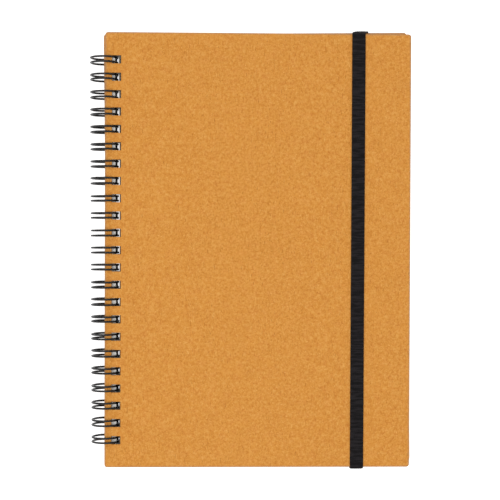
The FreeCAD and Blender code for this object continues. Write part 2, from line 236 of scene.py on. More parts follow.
def make_piece(name, parts, body, material, node, smooth_angle=40, attributes=None):
    """Object of the given parts, each an array of points and an array of quads. Points that
    meet are merged, faces without area go, and the faces are turned outwards.
    """
    mesh = bpy.data.meshes.new(name)
    points = np.concatenate([part[0] for part in parts])
    starts = np.cumsum([0] + [len(part[0]) for part in parts[:-1]])
    quads = np.concatenate([part[1] + start for part, start in zip(parts, starts)])
    mesh.vertices.add(len(points))
    mesh.vertices.foreach_set("co", points.astype(np.float32).ravel())
    mesh.loops.add(quads.size)
    mesh.loops.foreach_set("vertex_index", quads.astype(np.int32).ravel())
    mesh.polygons.add(len(quads))
    mesh.polygons.foreach_set("loop_start", np.arange(0, quads.size, 4, dtype=np.int32))
    for label, values in (attributes or {}).items():
        mesh.attributes.new(label, "FLOAT", "POINT").data.foreach_set("value", values)
    mesh.update(calc_edges=True)
    sheet = bmesh.new()
    sheet.from_mesh(mesh)
    bmesh.ops.remove_doubles(sheet, verts=sheet.verts, dist=MERGE_DISTANCE)
    bmesh.ops.dissolve_degenerate(sheet, edges=sheet.edges, dist=MERGE_DISTANCE)
    loose = [vertex for vertex in sheet.verts if not vertex.link_faces]
    bmesh.ops.delete(sheet, geom=loose, context="VERTS")
    bmesh.ops.recalc_face_normals(sheet, faces=sheet.faces)
    sheet.to_mesh(mesh)
    sheet.free()
    mesh.shade_smooth()
    mesh.set_sharp_from_angle(angle=math.radians(smooth_angle))
    mesh.materials.append(material)
    piece = bpy.data.objects.new(name, mesh)
    bpy.context.scene.collection.objects.link(piece)
    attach(piece, body)
    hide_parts(node)
    return piece


def strip_quads(rows, columns):
    """Quads of a grid of rows by columns of points, whose last column is joined to its first."""
    row = np.arange(rows - 1)[:, None]
    column = np.arange(columns)[None, :]
    after = (column + 1) % columns
    corners = (row * columns + column, row * columns + after,
               (row + 1) * columns + after, (row + 1) * columns + column)
    return np.stack(np.broadcast_arrays(*corners), axis=-1).reshape(-1, 4)


def cell_slab(x_cuts, y_cuts, kept, low, high):
    """Flat slab over a grid of cells between z = low and z = high: a top and a bottom quad for
    each kept cell, and a wall wherever a kept cell meets an open one. Its outer edge has no
    walls, because the outline's band closes it.
    """
    rows = len(y_cuts)
    x, y, z = np.meshgrid(x_cuts, y_cuts, (low, high), indexing="ij")
    points = np.stack((x, y, z), axis=-1).reshape(-1, 3)

    # A corner is given by its cut across, its cut up and its level.
    def quad(*corners):
        return np.stack([(across * rows + up) * 2 + level for across, up, level in corners], -1)

    i, j = np.nonzero(kept)
    quads = [quad((i, j, 1), (i + 1, j, 1), (i + 1, j + 1, 1), (i, j + 1, 1)),
             quad((i, j, 0), (i, j + 1, 0), (i + 1, j + 1, 0), (i + 1, j, 0))]
    padded = np.pad(kept, 1, mode="edge").astype(int)
    steps_x = padded[:-1, 1:-1] - padded[1:, 1:-1]
    steps_y = padded[1:-1, :-1] - padded[1:-1, 1:]
    for facing in (1, -1):
        i, j = np.nonzero(steps_x == facing)
        quads.append(quad((i, j, 0), (i, j + 1, 0), (i, j + 1, 1), (i, j, 1))[:, ::facing])
        i, j = np.nonzero(steps_y == facing)
        quads.append(quad((i + 1, j, 0), (i, j, 0), (i, j, 1), (i + 1, j, 1))[:, ::facing])
    return points, np.concatenate(quads)


def outline_ring(inset, width, height, radius, x_cuts, y_cuts, corner_steps=6):
    """Points round a rectangle with round corners, the given inset inside it, starting at its
    lower left corner. The straight sides also have points at the cuts. Corners keep their
    centre, so an inset past the radius leaves them sharp.
    """
    bend = max(radius, inset)
    reach = bend - inset
    turn = np.linspace(0, math.pi / 2, corner_steps + 1)
    near_x, far_x = bend, width - bend
    near_y, far_y = bend - height / 2, height / 2 - bend
    low, high = inset - height / 2, height / 2 - inset
    corners = ((near_x, near_y, math.pi), (far_x, near_y, math.pi * 1.5),
               (far_x, far_y, 0.0), (near_x, far_y, math.pi / 2))
    sides = (
        np.stack((x_cuts, np.full(len(x_cuts), low)), -1),
        np.stack((np.full(len(y_cuts), width - inset), y_cuts), -1),
        np.stack((x_cuts[::-1], np.full(len(x_cuts), high)), -1),
        np.stack((np.full(len(y_cuts), inset), y_cuts[::-1]), -1),
    )
    pieces = []
    for (x, y, start), side in zip(corners, sides):
        pieces.append(np.stack((x + reach * np.cos(start + turn), y + reach * np.sin(start + turn)), -1))
        pieces.append(side)
    return np.concatenate(pieces)


def outline_band(profile, width, height, radius, x_cuts, y_cuts):
    """Profile carried round the outline. Each point of the profile is an inset and a height."""
    rings = [outline_ring(inset, width, height, radius, x_cuts, y_cuts) for inset, _ in profile]
    heights = np.array([level for _, level in profile])
    points = np.empty((len(profile), len(rings[0]), 3))
    points[:, :, :2] = rings
    points[:, :, 2] = heights[:, None]
    return points.reshape(-1, 3), strip_quads(len(profile), len(rings[0]))


def loop_middles(wire):
    """Places of the loops along the row, evenly spaced about its middle."""
    return (np.arange(wire.loops) - (wire.loops - 1) / 2) * wire.pitch


def binding_holes(margin, width, height, wire):
    """Middles and half sizes of the binding holes, across and up the piece: one at each loop."""
    places = np.stack((np.full(wire.loops, margin + width / 2), loop_middles(wire)), -1)
    return places, np.array((width / 2, height / 2))


def opening_cuts(openings):
    """Where the sides of the openings lie, across and up the piece, each line once."""
    digits = 7
    cuts = []
    for axis in (0, 1):
        sides = [np.add.outer((-half[axis], half[axis]), places[:, axis]).ravel()
                 for places, half in openings]
        cuts.append(np.unique(np.concatenate(sides).round(digits)))
    return cuts


def sorted_cuts(*groups):
    """Cuts of all the groups in one rising row."""
    return np.sort(np.concatenate(groups))


def cell_middles(cuts):
    """Half-way between each cut and the next."""
    return (cuts[:-1] + cuts[1:]) / 2


def open_cells(x_cuts, y_cuts, openings):
    """Cells of the grid that lie in an opening."""
    across, up = cell_middles(x_cuts), cell_middles(y_cuts)
    masks = [((np.abs(across[:, None] - places[:, 0]) < half[0])[:, None, :]
              & (np.abs(up[:, None] - places[:, 1]) < half[1])[None, :, :]).any(2)
             for places, half in openings]
    return np.any(masks, axis=0)


def new_material(name, base, roughness, specular):
    """Material with one Principled shader, its node tree and that shader."""
    material = bpy.data.materials.new(name)
    material.use_nodes = True
    tree = material.node_tree
    shader = tree.nodes["Principled BSDF"]
    shader.inputs["Base Color"].default_value = (*base, 1)
    shader.inputs["Roughness"].default_value = roughness
    shader.inputs["Specular IOR Level"].default_value = specular
    return material, tree, shader


def add(tree, kind, inputs=None, **settings):
    """New node with its settings, and its inputs set to values or linked to other sockets."""
    node = tree.nodes.new(kind)
    for setting, value in settings.items():
        setattr(node, setting, value)
    for name, value in (inputs or {}).items():
        if isinstance(value, bpy.types.NodeSocket):
            tree.links.new(value, node.inputs[name])
        else:
            node.inputs[name].default_value = value
    return node


def calculate(tree, operation, first, second=0.0):
    """Result of a sum on one or two values."""
    return add(tree, "ShaderNodeMath", {0: first, 1: second}, operation=operation).outputs["Value"]


def attribute(tree, name):
    """Value that the mesh stores for each point."""
    return add(tree, "ShaderNodeAttribute", attribute_name=name).outputs["Fac"]


def object_coordinates(tree):
    """Coordinates on the piece, in metres."""
    return add(tree, "ShaderNodeTexCoord").outputs["Object"]


def noise(tree, vector, size, detail, roughness, distortion=0.0):
    """Noise with features of the given size."""
    node = add(tree, "ShaderNodeTexNoise", {"Vector": vector, "Scale": 1 / size, "Detail": detail,
                                            "Roughness": roughness, "Distortion": distortion})
    return node.outputs["Fac"]


def remap(tree, value, low, high, to_low=0.0, to_high=1.0):
    """Value carried from one range to another and clamped there."""
    inputs = {"Value": value, "From Min": low, "From Max": high, "To Min": to_low, "To Max": to_high}
    return add(tree, "ShaderNodeMapRange", inputs).outputs["Result"]


def mix(tree, share, first, second):
    """Second colour over the first by the share."""
    node = add(tree, "ShaderNodeMix", data_type="RGBA")
    sockets = {"Factor": share, "A": first, "B": second}
    for socket in node.inputs:
        value = sockets.get(socket.name)
        if value is None or not socket.enabled:
            continue
        if isinstance(value, bpy.types.NodeSocket):
            tree.links.new(value, socket)
        else:
            socket.default_value = (*value, 1) if socket.type == "RGBA" else value
    return next(socket for socket in node.outputs if socket.enabled)


def tinted(tree, under, over, value, low, high, share=1.0):
    """Colour laid over another as the value goes from low to high, up to the given share."""
    return mix(tree, remap(tree, value, low, high, 0, share), under, over)


def stretched(tree, vector, scale, turn=0.0):
    """Coordinates turned about Z and scaled along their own axes."""
    inputs = {"Vector": vector, "Rotation": (0, 0, turn), "Scale": scale}
    return add(tree, "ShaderNodeMapping", inputs).outputs["Vector"]


def fibres(tree, vector, turn):
    """Short fibres that lie about one way: noise drawn out along it."""
    return noise(tree, stretched(tree, vector, (1.0, 0.2, 1.0), turn), 0.5 * MM, 1.5, 0.6, 0.35)


def shade(base, factor):
    """Colour made lighter or darker by a factor."""
    return tuple(channel * factor for channel in base)


def bump(tree, shader, height, strength, distance):
    """Relief on the shader's surface: the height times the distance, by the strength."""
    node = add(tree, "ShaderNodeBump", {"Height": height, "Strength": strength, "Distance": distance})
    tree.links.new(node.outputs["Normal"], shader.inputs["Normal"])


def covering_material(settings):
    """Recycled fibre paper: clouds of redder, lighter and darker pulp, pale and dark grains pressed
    flat in it, pale specks, and fibres that lie three ways. Its folded edges are painted greyer and
    darker in patches: painted shade, where the edges turn from the light.
    """
    base, pale, dark = settings.sheet_colour, settings.pale_colour, settings.fleck_colour
    material, tree, shader = new_material("covering_sheet", base, 0.82, 0.25)
    place = object_coordinates(tree)
    clouds = noise(tree, place, 7 * MM, 3, 0.6)
    pulp = tinted(tree, shade(base, 0.97), shade(base, 1.03), clouds, 0.3, 0.7)
    rosy = noise(tree, place, 3.2 * MM, 2, 0.5)
    pulp = tinted(tree, pulp, settings.rosy_colour, rosy, 0.45, 0.7, 0.35)
    coarse = noise(tree, place, 1.3 * MM, 2.5, 0.62, 0.3)
    pulp = tinted(tree, pulp, pale, coarse, 0.5, 0.72, 0.75)
    pulp = tinted(tree, pulp, dark, coarse, 0.48, 0.27, 0.6)
    grain = noise(tree, place, 0.6 * MM, 2, 0.6)
    pulp = tinted(tree, pulp, pale, grain, 0.52, 0.72, 0.6)
    pulp = tinted(tree, pulp, dark, grain, 0.47, 0.28, 0.5)
    for turn in (0.35, 1.35):
        pulp = tinted(tree, pulp, shade(dark, 0.8), fibres(tree, place, turn), 0.67, 0.72, 0.6)
    specks = noise(tree, place, 0.75 * MM, 1, 0.5)
    pulp = tinted(tree, pulp, settings.speck_colour, specks, 0.7, 0.78, 0.8)
    pulp = tinted(tree, pulp, pale, fibres(tree, place, 2.45), 0.655, 0.705, 0.8)
    # Painted shade: the folded edges are laid over with a darker, greyer colour in patches.
    patches = remap(tree, noise(tree, place, 1.8 * MM, 2, 0.6), 0.35, 0.65, 0.35, 0.8)
    painted_fold_shade = calculate(tree, "MULTIPLY", attribute(tree, "fold"), patches)
    pulp = mix(tree, painted_fold_shade, pulp, settings.fold_shade_colour)
    tree.links.new(pulp, shader.inputs["Base Color"])
    tree.links.new(remap(tree, grain, 0.3, 0.7, 0.76, 0.9), shader.inputs["Roughness"])
    bump(tree, shader, calculate(tree, "ADD", coarse, grain), 0.35, 0.08 * MM)
    return material


def board_material(settings):
    """Grey board: pressed waste paper, dark and light specks in layers. Its colour is painted dark,
    as the shade in the binding holes where it shows.
    """
    base = settings.board_shade_colour
    material, tree, shader = new_material("grey_board_in_painted_shade", base, 0.95, 0.1)
    specks = noise(tree, stretched(tree, object_coordinates(tree), (1.0, 1.0, 4.0)), 0.5 * MM, 3, 0.7)
    tone = tinted(tree, shade(base, 0.7), shade(base, 1.35), specks, 0.3, 0.7)
    tree.links.new(tone, shader.inputs["Base Color"])
    bump(tree, shader, specks, 0.5, 0.1 * MM)
    return material


def paper_material(name, base, tooth):
    """Uncoated paper: faint clouds and a fine tooth of the given size."""
    material, tree, shader = new_material(name, base, 0.85, 0.25)
    place = object_coordinates(tree)
    clouds = noise(tree, place, 6 * MM, 3, 0.6)
    tone = tinted(tree, shade(base, 0.97), shade(base, 1.02), clouds, 0.3, 0.7)
    fine = noise(tree, place, tooth, 2, 0.6)
    tone = tinted(tree, tone, shade(base, 0.85), fine, 0.6, 0.75, 0.25)
    tree.links.new(tone, shader.inputs["Base Color"])
    bump(tree, shader, fine, 0.25, 0.03 * MM)
    return material


def wire_material(settings):
    """Black coated wire: satin, with a faint orange-peel in the coating."""
    base = settings.coat_colour
    material, tree, shader = new_material("coated_wire", base, 0.3, 0.3)
    place = object_coordinates(tree)
    peel = noise(tree, place, 0.5 * MM, 2, 0.5)
    scuffs = noise(tree, place, 2.5 * MM, 3, 0.7)
    tone = tinted(tree, base, shade(base, 1.6), scuffs, 0.45, 0.7)
    tree.links.new(tone, shader.inputs["Base Color"])
    tree.links.new(remap(tree, scuffs, 0.3, 0.7, 0.26, 0.42), shader.inputs["Roughness"])
    bump(tree, shader, peel, 0.12, 0.04 * MM)
    return material


def elastic_material(settings):
    """Woven elastic: threads that cross the ribs in a fine chevron, with painted light on their crowns
    and painted shade between them, with paler weft and stray fibres.
    """
    base = settings.thread_colour
    material, tree, shader = new_material("woven_elastic", base, 0.85, 0.12)
    shader.inputs["Sheen Weight"].default_value = 0.06
    shader.inputs["Sheen Roughness"].default_value = 0.4
    rib = settings.rib_pitch
    threads_to_a_rib = 2.4
    thread = rib / threads_to_a_rib
    zigzag = calculate(tree, "PINGPONG", attribute(tree, "across"), rib / 2)
    diagonal = calculate(tree, "ADD", attribute(tree, "along"), zigzag)
    wave = calculate(tree, "SINE", calculate(tree, "MULTIPLY", diagonal, 2 * math.pi / thread))
    crown = remap(tree, wave, -1, 1)
    place = object_coordinates(tree)
    stray = noise(tree, place, 0.3 * MM, 2, 0.7)
    weft = noise(tree, stretched(tree, place, (0.12, 1.0, 1.0)), 0.8 * MM, 2, 0.6)
    # Painted light and shade: the threads are lighter on their crowns and darker between them.
    tone = mix(tree, crown, shade(base, 0.6), shade(base, 1.3))
    tone = tinted(tree, tone, shade(base, 3.2), weft, 0.42, 0.6)
    tone = tinted(tree, tone, shade(base, 2.4), stray, 0.6, 0.8, 0.5)
    tree.links.new(tone, shader.inputs["Base Color"])
    relief = calculate(tree, "ADD", crown, calculate(tree, "MULTIPLY", stray, 0.6))
    bump(tree, shader, relief, 0.7, 0.08 * MM)
    return material


def rounded_profile(depth, thickness, radius, steps=6):
    """Outside of a wrapped edge, from the given depth on the upper face round to the same depth on
    the lower one, as insets and heights: a straight run, two quarter circles of the given radius
    and a straight run. With it comes how far each point is folded: 1 on the bend, 0 on the runs.
    """
    turn = np.linspace(0, math.pi / 2, steps + 1)
    upper = np.stack((radius - radius * np.sin(turn), thickness - radius + radius * np.cos(turn)), -1)
    lower = upper[::-1] * (1, -1) + (0, thickness)
    flat = 2 * radius
    runs = (((depth, thickness), (flat, thickness)), ((flat, 0.0), (depth, 0.0)))
    profile = np.concatenate((runs[0], upper, lower, runs[1]))
    return profile, np.pad(np.ones(len(profile) - 4), 2)


def elastic_reach(ring):
    """X of the CAD elastic's middle and z of its outer face, in the ring's frame."""
    low, high = node_corners("elastic_band", ring.axes)
    origin = ring.axes @ ring.origin
    return (low[0] + high[0]) / 2 - origin[0], high[2] - origin[2]


def elastic_slots(settings):
    """Middles and half sizes of the two slots that the elastic passes through, on the back cover."""
    ring, seat = RingFrame(), Seat("back_cover")
    x, _ = elastic_reach(ring)
    y = seat.size[1] / 2 - settings.slot_to_edge
    places = seat.local(ring.place(np.array(((x, -y, 0), (x, y, 0)))))[:, :2]
    slack = 0.25 * MM
    return places, np.array((settings.width / 2 + slack, settings.thickness / 2 + slack))


def wrapped_cover(side, settings, wire, band, material):
    """Covering sheet of one cover: a folded edge carried round the outline, the outer face and
    the turn-ins, with the binding holes cut through both, and the elastic's slots at the back.
    """
    seat = Seat(f"{side}_cover")
    width, height, thickness = seat.size
    sheet = settings.sheet_thickness
    depth = max(2 * MM, settings.corner_radius)
    # The sheet's holes are wider than the board's, so dark board shows at their far ends as painted
    # shade.
    openings = [binding_holes(settings.hole_margin, settings.hole_width, settings.hole, wire)]
    if side == "back":
        openings.append(elastic_slots(band))
    holes_x, holes_y = opening_cuts(openings)
    inner_x = (settings.turn_in, width - settings.turn_in)
    inner_y = (settings.turn_in - height / 2, height / 2 - settings.turn_in)
    x_cuts = sorted_cuts((depth, width - depth), holes_x, inner_x)
    y_cuts = sorted_cuts((depth - height / 2, height / 2 - depth), holes_y, inner_y)
    solid = ~open_cells(x_cuts, y_cuts, openings)
    across, up = cell_middles(x_cuts), cell_middles(y_cuts)
    field = ((across > inner_x[0]) & (across < inner_x[1]))[:, None] & (np.abs(up) < inner_y[1])[None, :]
    outside, folded = rounded_profile(depth, thickness, settings.edge_radius)
    inner_top = thickness - sheet
    inside = np.array(((depth, sheet), (sheet, sheet), (sheet, inner_top), (depth, inner_top)))
    outline = (width, height, settings.corner_radius, x_cuts, y_cuts)
    parts = [
        outline_band(outside, *outline),
        outline_band(inside, *outline),
        cell_slab(x_cuts, y_cuts, solid, inner_top, thickness),
        cell_slab(x_cuts, y_cuts, solid & ~field, 0.0, sheet),
    ]
    if side == "back":
        # The back cover's outer face is the lower one, so its sheet is turned over.
        for points, _ in parts:
            points[:, 2] = thickness - points[:, 2]
    edge_points = len(parts[0][0])
    fold = np.zeros(sum(len(points) for points, _ in parts))
    fold[:edge_points] = np.repeat(folded, edge_points // len(folded))
    parts = [(seat.place(points), quads) for points, quads in parts]
    return make_piece(f"{side}_covering", parts, side, material, f"{side}_cover",
                      attributes={"fold": fold})


def leaf_ridges(settings, thickness):
    """Profile of the block's edge, as insets and heights: a flat ridge on the middle six tenths of
    each leaf's thickness, and a groove between two leaves that lies behind both. Each ridge is
    inset by a seeded draw, squared so that few leaves lie far back.
    """
    draw = np.random.default_rng(7)
    offsets = settings.groove + settings.unevenness * draw.random(settings.leaves) ** 2
    bounds = np.linspace(0, thickness, settings.leaves + 1)
    slope = 0.2 * thickness / settings.leaves
    lower, upper = bounds[:-1] + slope, bounds[1:] - slope
    lower[0], upper[-1] = 0.0, thickness
    grooves = np.maximum(offsets, np.roll(offsets, -1)) + settings.groove
    insets = np.stack((offsets, offsets, grooves), -1).ravel()
    heights = np.stack((lower, upper, bounds[1:]), -1).ravel()
    return np.stack((insets, heights), -1)[:-1]


def ridged_leaves(settings, wire, material):
    """Block of leaves: a flat face above and below, and the ridges carried round the outline."""
    seat = Seat("page_block")
    width, height, thickness = seat.size
    openings = [binding_holes(settings.hole_margin, settings.hole, settings.hole, wire)]
    holes_x, holes_y = opening_cuts(openings)
    ridges = leaf_ridges(settings, thickness)
    corner = 0.3 * MM
    # The faces and the ridged edge share the same cuts, so that their points meet.
    reach = corner + ridges[:, 0].max()
    x_cuts = sorted_cuts((reach, width - reach), holes_x)
    y_cuts = sorted_cuts((reach - height / 2, height / 2 - reach), holes_y)
    solid = ~open_cells(x_cuts, y_cuts, openings)
    faces = cell_slab(x_cuts, y_cuts, solid, 0.0, thickness)
    profile = np.concatenate((((reach, 0.0),), ridges, ((reach, thickness),)))
    edge = outline_band(profile, width, height, corner, x_cuts, y_cuts)
    parts = [(seat.place(points), quads) for points, quads in (faces, edge)]
    return make_piece("leaves", parts, "leaves", material, "page_block", smooth_angle=20)


def tube(points, tangents, outward, radius, sides=14):
    """Round bar along points: circles square to the tangents, started from the outward normals,
    with a fan of quads closing each end.
    """
    turn = np.arange(sides) * 2 * math.pi / sides
    beside = np.cross(tangents, outward)
    circle = (outward[:, None, :] * np.cos(turn)[None, :, None]
              + beside[:, None, :] * np.sin(turn)[None, :, None])
    rings = points[:, None, :] + radius * circle
    rounding = 0.25 * radius
    first = points[0] - tangents[0] * rounding + circle[0] * (radius - rounding)
    last = points[-1] + tangents[-1] * rounding + circle[-1] * (radius - rounding)
    ends = [np.broadcast_to(first.mean(0), (sides, 3)), first, *rings, last,
            np.broadcast_to(last.mean(0), (sides, 3))]
    return np.concatenate(ends), strip_quads(len(ends), sides)


def one_loop(wire):
    """Middle line of one loop in the ring's tangent planes: a quarter bend up from the base, a leg
    round the ring, a half-round tip, the second leg back and a quarter bend down.

    Each point has seven columns: ring angle, side of the loop, shift past that side, distance
    along the tangent, the part of it that grows with the leg spacing, and the two parts of the
    direction, with y and along the tangent.
    """
    bend, base = wire.base_bend, wire.base_angle
    sweep = 2 * math.pi - wire.seam_angle
    bend_turn = np.linspace(0, math.pi / 2, 9)[1:-1]
    leg_turn = np.linspace(0, sweep, 73)
    tip_turn = np.linspace(0, math.pi, 17)[1:-1]

    def steps(ring, side=-1.0, shift=0.0, along=0.0, curl=0.0, with_y=0.0, with_ring=-1.0):
        return np.stack(np.broadcast_arrays(ring, side, shift, along, curl, with_y, with_ring))

    rise, reach = np.sin(bend_turn), np.cos(bend_turn)
    rising = steps(np.full(len(bend_turn), base), shift=bend * (rise - 1), along=bend * reach,
                   with_y=reach, with_ring=-rise)
    leg = steps(base - leg_turn)
    tip = steps(np.full(len(tip_turn), base - sweep), side=-np.cos(tip_turn), curl=-np.sin(tip_turn),
                with_y=np.sin(tip_turn), with_ring=-np.cos(tip_turn))
    first_half = np.concatenate((rising, leg), axis=1)
    second_half = first_half[:, ::-1] * np.array((1, -1, -1, 1, 1, 1, -1))[:, None]
    return np.concatenate((first_half, tip, second_half), axis=1)


def loop_path(wire):
    """Middle line of the wire with its tangents and outward normals, in the ring's frame: the
    loops one after another, joined along the base.

    The loops differ a little, by seeded draws: in how far apart their legs stand, and in their
    lean, which grows by half a cosine from the base to the far side.
    """
    radius, bend, base = wire.ring_radius, wire.base_bend, wire.base_angle
    draw = np.random.default_rng(11)
    twins = wire.twin_spacing + wire.unevenness * draw.uniform(-1, 0.8, wire.loops)[:, None]
    leans = wire.lean * draw.uniform(-1, 1, wire.loops)[:, None]
    ring, side, shift, along, curl, with_y, with_ring = one_loop(wire)
    middles = loop_middles(wire)
    sway = (1 - np.cos(base - ring)) / 2
    y = (middles[:, None] + side * twins / 2 + shift + sway * leans).ravel()
    along = (along + curl * twins / 2).ravel()
    ring, with_y, with_ring = (np.tile(column, wire.loops) for column in (ring, with_y, with_ring))
    outward = np.stack((np.cos(ring), np.zeros(len(ring)), np.sin(ring)), -1)
    tangent = np.stack((-np.sin(ring), np.zeros(len(ring)), np.cos(ring)), -1)
    points = outward * radius + tangent * along[:, None]
    points[:, 1] = y
    tangents = tangent * with_ring[:, None]
    tangents[:, 1] = with_y

    # The wire's two cut ends lie along the base, past the first and the last loop.
    stub = np.array((0.0, 0.8 * bend, 0.0))
    run = np.array((0.0, 1.0, 0.0))
    base_out = np.array((math.cos(base), 0.0, math.sin(base)))
    base_along = np.array((-math.sin(base), 0.0, math.cos(base)))
    low, high = (base_out * radius + base_along * bend for _ in range(2))
    low[1] = middles[0] - twins[0, 0] / 2 - bend
    high[1] = middles[-1] + twins[-1, 0] / 2 + bend
    points = np.concatenate(((low - stub, low), points, (high, high + stub)))
    tangents = np.concatenate(((run, run), tangents, (run, run)))
    outward = np.concatenate(((base_out, base_out), outward, (base_out, base_out)))
    return points, tangents, outward


def twin_loop_wire(wire, material):
    """Round bar along the loops' path."""
    ring = RingFrame()
    points, tangents, outward = loop_path(wire)
    surface, quads = tube(points, tangents, outward, wire.diameter / 2)
    return make_piece("twin_loop_wire", [(ring.place(surface), quads)], "back", material,
                      "twin_wire", smooth_angle=60)


def bent_route(corners, radii, steps=10):
    """Line through corner points with a tangent arc at each inner corner: its points and its
    unit tangents.
    """
    points, tangents = [corners[0]], []
    for before, here, after, radius in zip(corners, corners[1:], corners[2:], radii):
        arriving = (here - before) / np.linalg.norm(here - before)
        leaving = (after - here) / np.linalg.norm(after - here)
        half_turn = math.acos(np.clip(arriving.dot(leaving), -1, 1)) / 2
        inward = (leaving - arriving) / np.linalg.norm(leaving - arriving)
        centre = here + inward * radius / math.cos(half_turn)
        turn = np.linspace(-half_turn, half_turn, steps + 1)[:, None]
        forward = (arriving + leaving) / np.linalg.norm(arriving + leaving)
        tangents += [arriving] if not tangents else []
        points += list(centre + radius * (forward * np.sin(turn) - inward * np.cos(turn)))
        tangents += list(forward * np.cos(turn) + inward * np.sin(turn))
    points.append(corners[-1])
    tangents.append(tangents[-1])
    return np.array(points), np.array(tangents)


def divided(points, tangents, spacing):
    """Points and tangents with the long straight runs divided evenly."""
    steps = np.maximum(1, np.ceil(np.linalg.norm(np.diff(points, axis=0), axis=1) / spacing).astype(int))
    shares = np.concatenate([np.arange(count) / count + number for number, count in enumerate(steps)]
                            + [[len(steps)]])
    corners = np.arange(len(points))
    places, directions = (np.stack([np.interp(shares, corners, column) for column in values.T], -1)
                          for values in (points, tangents))
    return places, directions / np.linalg.norm(directions, axis=1)[:, None]


def cover_edge(side, x, sign, ring):
    """Where a cover's top (+1) or bottom (-1) edge passes x, in the ring's frame."""
    seat = Seat(f"{side}_cover")
    corners = np.array(((0, sign * seat.size[1] / 2, 0), (seat.size[0], sign * seat.size[1] / 2, 0)))
    start, end = ring.local(seat.place(corners))
    return start[1] + (end[1] - start[1]) * (x - start[0]) / (end[0] - start[0])


def elastic_route(settings, cover, ring):
    """Corner points and bend radii of the elastic, in the ring's frame: from one glued tail out
    through its slot, over the notebook's top edge, down the front and back in the same way.
    """
    x, outer = elastic_reach(ring)
    half = settings.thickness / 2
    rise = outer - half
    seat = Seat("back_cover")
    lift = ring.local(seat.place(np.zeros((1, 3))))[0][2] + seat.size[2]
    glue = 0.05 * MM
    tail_z = lift - cover.sheet_thickness - glue - half
    slot = seat.size[1] / 2 - settings.slot_to_edge
    reach = settings.clearance + half
    route, radii = [], []
    for sign, slip in ((1, settings.slip), (-1, 0.0)):
        back, front = (cover_edge(side, x, sign, ring) + sign * reach for side in ("back", "front"))
        front_x = x + front * math.tan(settings.lean)
        back_x = front_x + slip
        step = (back_x, back, lift) if back * sign > front * sign else (front_x, front, -lift)
        tail = sign * (slot + half - settings.tail)
        part = [(x, tail, tail_z), (x, sign * slot, tail_z), (x, sign * slot, -rise),
                (back_x, back, -rise), step, (front_x, front, rise)]
        bends = [settings.slot_bend, settings.slot_bend, settings.edge_bend, settings.slant_bend,
                 settings.edge_bend]
        route += part if sign > 0 else part[::-1]
        radii += bends if sign > 0 else bends[::-1]
    return np.array(route), radii


def ribbed_section(settings, across_steps=50):
    """Section of the flat elastic as points across and through it: flat faces that fall away to
    round edges by a power curve, with furrows between the ribs by a cosine.
    """
    half_width, half = settings.width / 2, settings.thickness / 2
    turn = np.linspace(0, math.pi, across_steps)
    x = -half_width * np.cos(turn)
    swell = (1 - np.abs(x / half_width) ** 6) ** 0.5
    furrow = settings.rib_depth * (0.5 - 0.5 * np.cos(2 * math.pi * x / settings.rib_pitch)) * swell
    z = half * swell - furrow
    upper = np.stack((x, z), -1)
    lower = np.stack((x[::-1], -z[::-1]), -1)
    return np.concatenate((upper, lower[1:-1]))


def elastic(settings, cover, material):
    """Flat elastic: the ribbed section carried along its route, closed at the two cut ends."""
    ring = RingFrame()
    corners, radii = elastic_route(settings, cover, ring)
    points, tangents = divided(*bent_route(corners, radii), 4 * MM)
    section = ribbed_section(settings)
    across = np.array((1.0, 0.0, 0.0))
    through = np.cross(across, tangents)
    rows = (points[:, None, :] + section[None, :, 0, None] * across
            + section[None, :, 1, None] * through[:, None, :])
    caps = [np.broadcast_to(points[end], (len(section), 3)) for end in (0, -1)]
    surface = np.concatenate((caps[:1], rows, caps[1:]))
    distance = np.concatenate(((0.0,), np.cumsum(np.linalg.norm(np.diff(points, axis=0), axis=1))))
    distance = np.concatenate((distance[:1], distance, distance[-1:]))
    along = np.repeat(distance, len(section))
    beside = np.tile(section[:, 0] + settings.width / 2, len(surface))
    quads = strip_quads(len(surface), len(section))
    piece = make_piece("elastic_strap", [(ring.place(surface.reshape(-1, 3)), quads)], "back",
                       material, "elastic_band", smooth_angle=50,
                       attributes={"across": beside, "along": along})
    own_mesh(piece)
    return piece


class NOTEBOOK_OT_covers(bpy.types.Operator):
    """Make the covering sheets of both covers"""
    bl_idname = "notebook.covers"
    bl_label = "Covers"

    def execute(self, context):
        scene = context.scene
        settings = scene.notebook_cover
        material = covering_material(settings)
        for side in ("front", "back"):
            wrapped_cover(side, settings, scene.notebook_wire, scene.notebook_elastic, material)
        return {"FINISHED"}


class NOTEBOOK_OT_boards(bpy.types.Operator):
    """Give the boards and the linings inside the covers their finish"""
    bl_idname = "notebook.boards"
    bl_label = "Boards and linings"

    def execute(self, context):
        settings = context.scene.notebook_cover
        board = board_material(settings)
        lining = paper_material("lining_paper", settings.lining_colour, 0.4 * MM)
        for side in ("front", "back"):
            for node, material in ((f"{side}_board", board), (f"{side}_endpaper", lining)):
                mesh = frame["nodes"][node].data
                mesh.materials.clear()
                mesh.materials.append(material)
        return {"FINISHED"}


class NOTEBOOK_OT_leaves(bpy.types.Operator):
    """Make the block of leaves"""
    bl_idname = "notebook.leaves"
    bl_label = "Leaves"

    def execute(self, context):
        scene = context.scene
        settings = scene.notebook_leaves
        material = paper_material("leaf_paper", settings.paper_colour, 0.35 * MM)
        ridged_leaves(settings, scene.notebook_wire, material)
        return {"FINISHED"}


class NOTEBOOK_OT_wire(bpy.types.Operator):
    """Make the twin-loop wire"""
    bl_idname = "notebook.wire"
    bl_label = "Twin-loop wire"

    def execute(self, context):
        settings = context.scene.notebook_wire
        twin_loop_wire(settings, wire_material(settings))
        return {"FINISHED"}


class NOTEBOOK_OT_elastic(bpy.types.Operator):
    """Make the elastic that holds the notebook shut"""
    bl_idname = "notebook.elastic"
    bl_label = "Elastic"

    def execute(self, context):
        settings = context.scene.notebook_elastic
        elastic(settings, context.scene.notebook_cover, elastic_material(settings))
        return {"FINISHED"}


